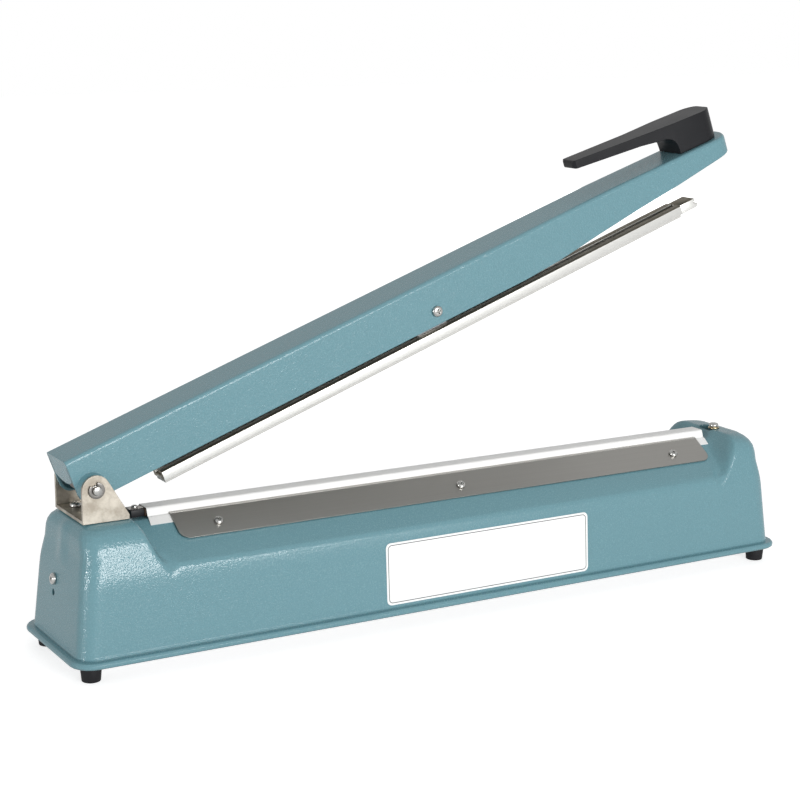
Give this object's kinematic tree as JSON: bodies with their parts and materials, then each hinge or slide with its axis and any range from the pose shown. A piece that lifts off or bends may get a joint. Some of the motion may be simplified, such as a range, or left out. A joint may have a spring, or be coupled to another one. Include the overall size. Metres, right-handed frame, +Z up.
{
  "type": "hand impulse heat sealer",
  "caption": "Long cast base on rubber feet with a ridge, heating element and non-stick cloth, and a spring-lifted press arm with a handle, a rocking press bar and a switch plunger.",
  "frame": {"origin": "middle of the box round the base, at the height of the feet's lower faces", "axes": "+X along the machine from the hinge to the handle, -Y towards the label and the user, +Z up; the arm is lifted, where its spring holds it"},
  "size_m": [0.55, 0.105, 0.3329],
  "materials": {
    "enamel": "hammered teal grey stove enamel",
    "base_sheet": "zinc-coated sheet",
    "foot_rubber": "moulded black rubber",
    "zinc_steel": "bright zinc plating",
    "label_card": "satin white with a thin dark border line",
    "heat_proof_board": "pressed brown board",
    "element_metal": "flat resistance strip",
    "non_stick_cloth": "white coated glass cloth",
    "plate_steel": "brushed along its length",
    "black_plastic": "moulded, slightly glossy",
    "bracket_nickel": "satin nickel plating with a warm tint",
    "spring_steel": "oiled spring steel",
    "bush_plastic": "turned brown plastic",
    "bright_nickel": "polished nickel over a brass flange",
    "core_iron": "varnished laminations",
    "coil_tape": "yellow insulating tape",
    "circuit_board": "green solder mask",
    "red_lens": "clear red plastic",
    "gland_rubber": "moulded black rubber",
    "bar_aluminium": "champagne anodising",
    "silicone": "soft light grey silicone"
  },
  "bodies": {
    "base": {"housing": "enamel", "base_plate": "base_sheet", "foot_front_left": "foot_rubber", "foot_front_right": "foot_rubber", "foot_rear_left": "foot_rubber", "foot_rear_right": "foot_rubber", "foot_screw_front_left": "zinc_steel", "foot_screw_front_right": "zinc_steel", "foot_screw_rear_left": "zinc_steel", "foot_screw_rear_right": "zinc_steel", "label_plate": "label_card", "earth_screw": "zinc_steel", "insulator_strip": "heat_proof_board", "heating_element": "element_metal", "ptfe_cloth": "non_stick_cloth", "front_plate": "plate_steel", "rear_plate": "plate_steel", "front_plate_screw_left": "zinc_steel", "front_plate_screw_middle": "zinc_steel", "front_plate_screw_right": "zinc_steel", "rear_plate_screw_left": "zinc_steel", "rear_plate_screw_middle": "zinc_steel", "rear_plate_screw_right": "zinc_steel", "terminal_block_left": "black_plastic", "terminal_block_right": "black_plastic", "terminal_screw_left": "zinc_steel", "terminal_screw_right": "zinc_steel", "hinge_bracket": "bracket_nickel", "bracket_screw_front": "zinc_steel", "bracket_screw_rear": "zinc_steel", "hinge_pin": "zinc_steel", "pin_clip_front": "spring_steel", "pin_clip_rear": "spring_steel", "hinge_spring": "spring_steel", "plunger_bush": "bush_plastic", "plunger_spring": "spring_steel", "switch_bracket": "zinc_steel", "micro_switch": "black_plastic", "transformer_core": "core_iron", "transformer_coil": "coil_tape", "timer_board": "circuit_board", "timer_pot": "black_plastic", "lamp_lens": "red_lens", "cord_gland": "gland_rubber"},
    "arm": {"arm": "enamel", "handle": "black_plastic", "handle_screw_left": "zinc_steel", "handle_screw_right": "zinc_steel", "bar_screw": "zinc_steel", "bar_nut": "zinc_steel", "bar_spacer_front": "zinc_steel", "bar_spacer_rear": "zinc_steel"},
    "bar": {"bar_hanger": "zinc_steel", "press_bar": "bar_aluminium", "silicone_strip": "silicone", "switch_striker": "bar_aluminium"},
    "plunger": {"switch_plunger": "bright_nickel"},
    "knob": {"timer_knob": "black_plastic"}
  },
  "joints": [
    {"name": "arm_hinge", "type": "hinge", "parent": "base", "child": "arm", "pos_m": [-0.2487, 0, 0.1159], "axis": [0, -1, 0], "range_deg": [-18.55, 25], "stiffness_Nm_per_rad": 3, "springref_deg": 40.11, "deforming": ["hinge_spring"]},
    {"name": "press_bar_rock", "type": "hinge", "parent": "arm", "child": "bar", "pos_m": [-0.00196, 0, 0.20548], "axis": [0, -1, 0], "range_deg": [-1.3, 1.75]},
    {"name": "switch_plunger", "type": "slide", "parent": "base", "child": "plunger", "axis": [0, 0, -1], "range_m": [0, 0.0022], "stiffness_N_per_m": 400, "springref_m": -0.004, "deforming": ["plunger_spring"]},
    {"name": "timer_knob", "type": "hinge", "parent": "base", "child": "knob", "pos_m": [0.06, 0.04629, 0.042], "axis": [0, 0.9985, 0.0549], "range_deg": [0, 300]}
  ],
  "couplings": [
    {"joint": "press_bar_rock", "follows": "arm_hinge", "ratio": 0.0674}
  ]
}
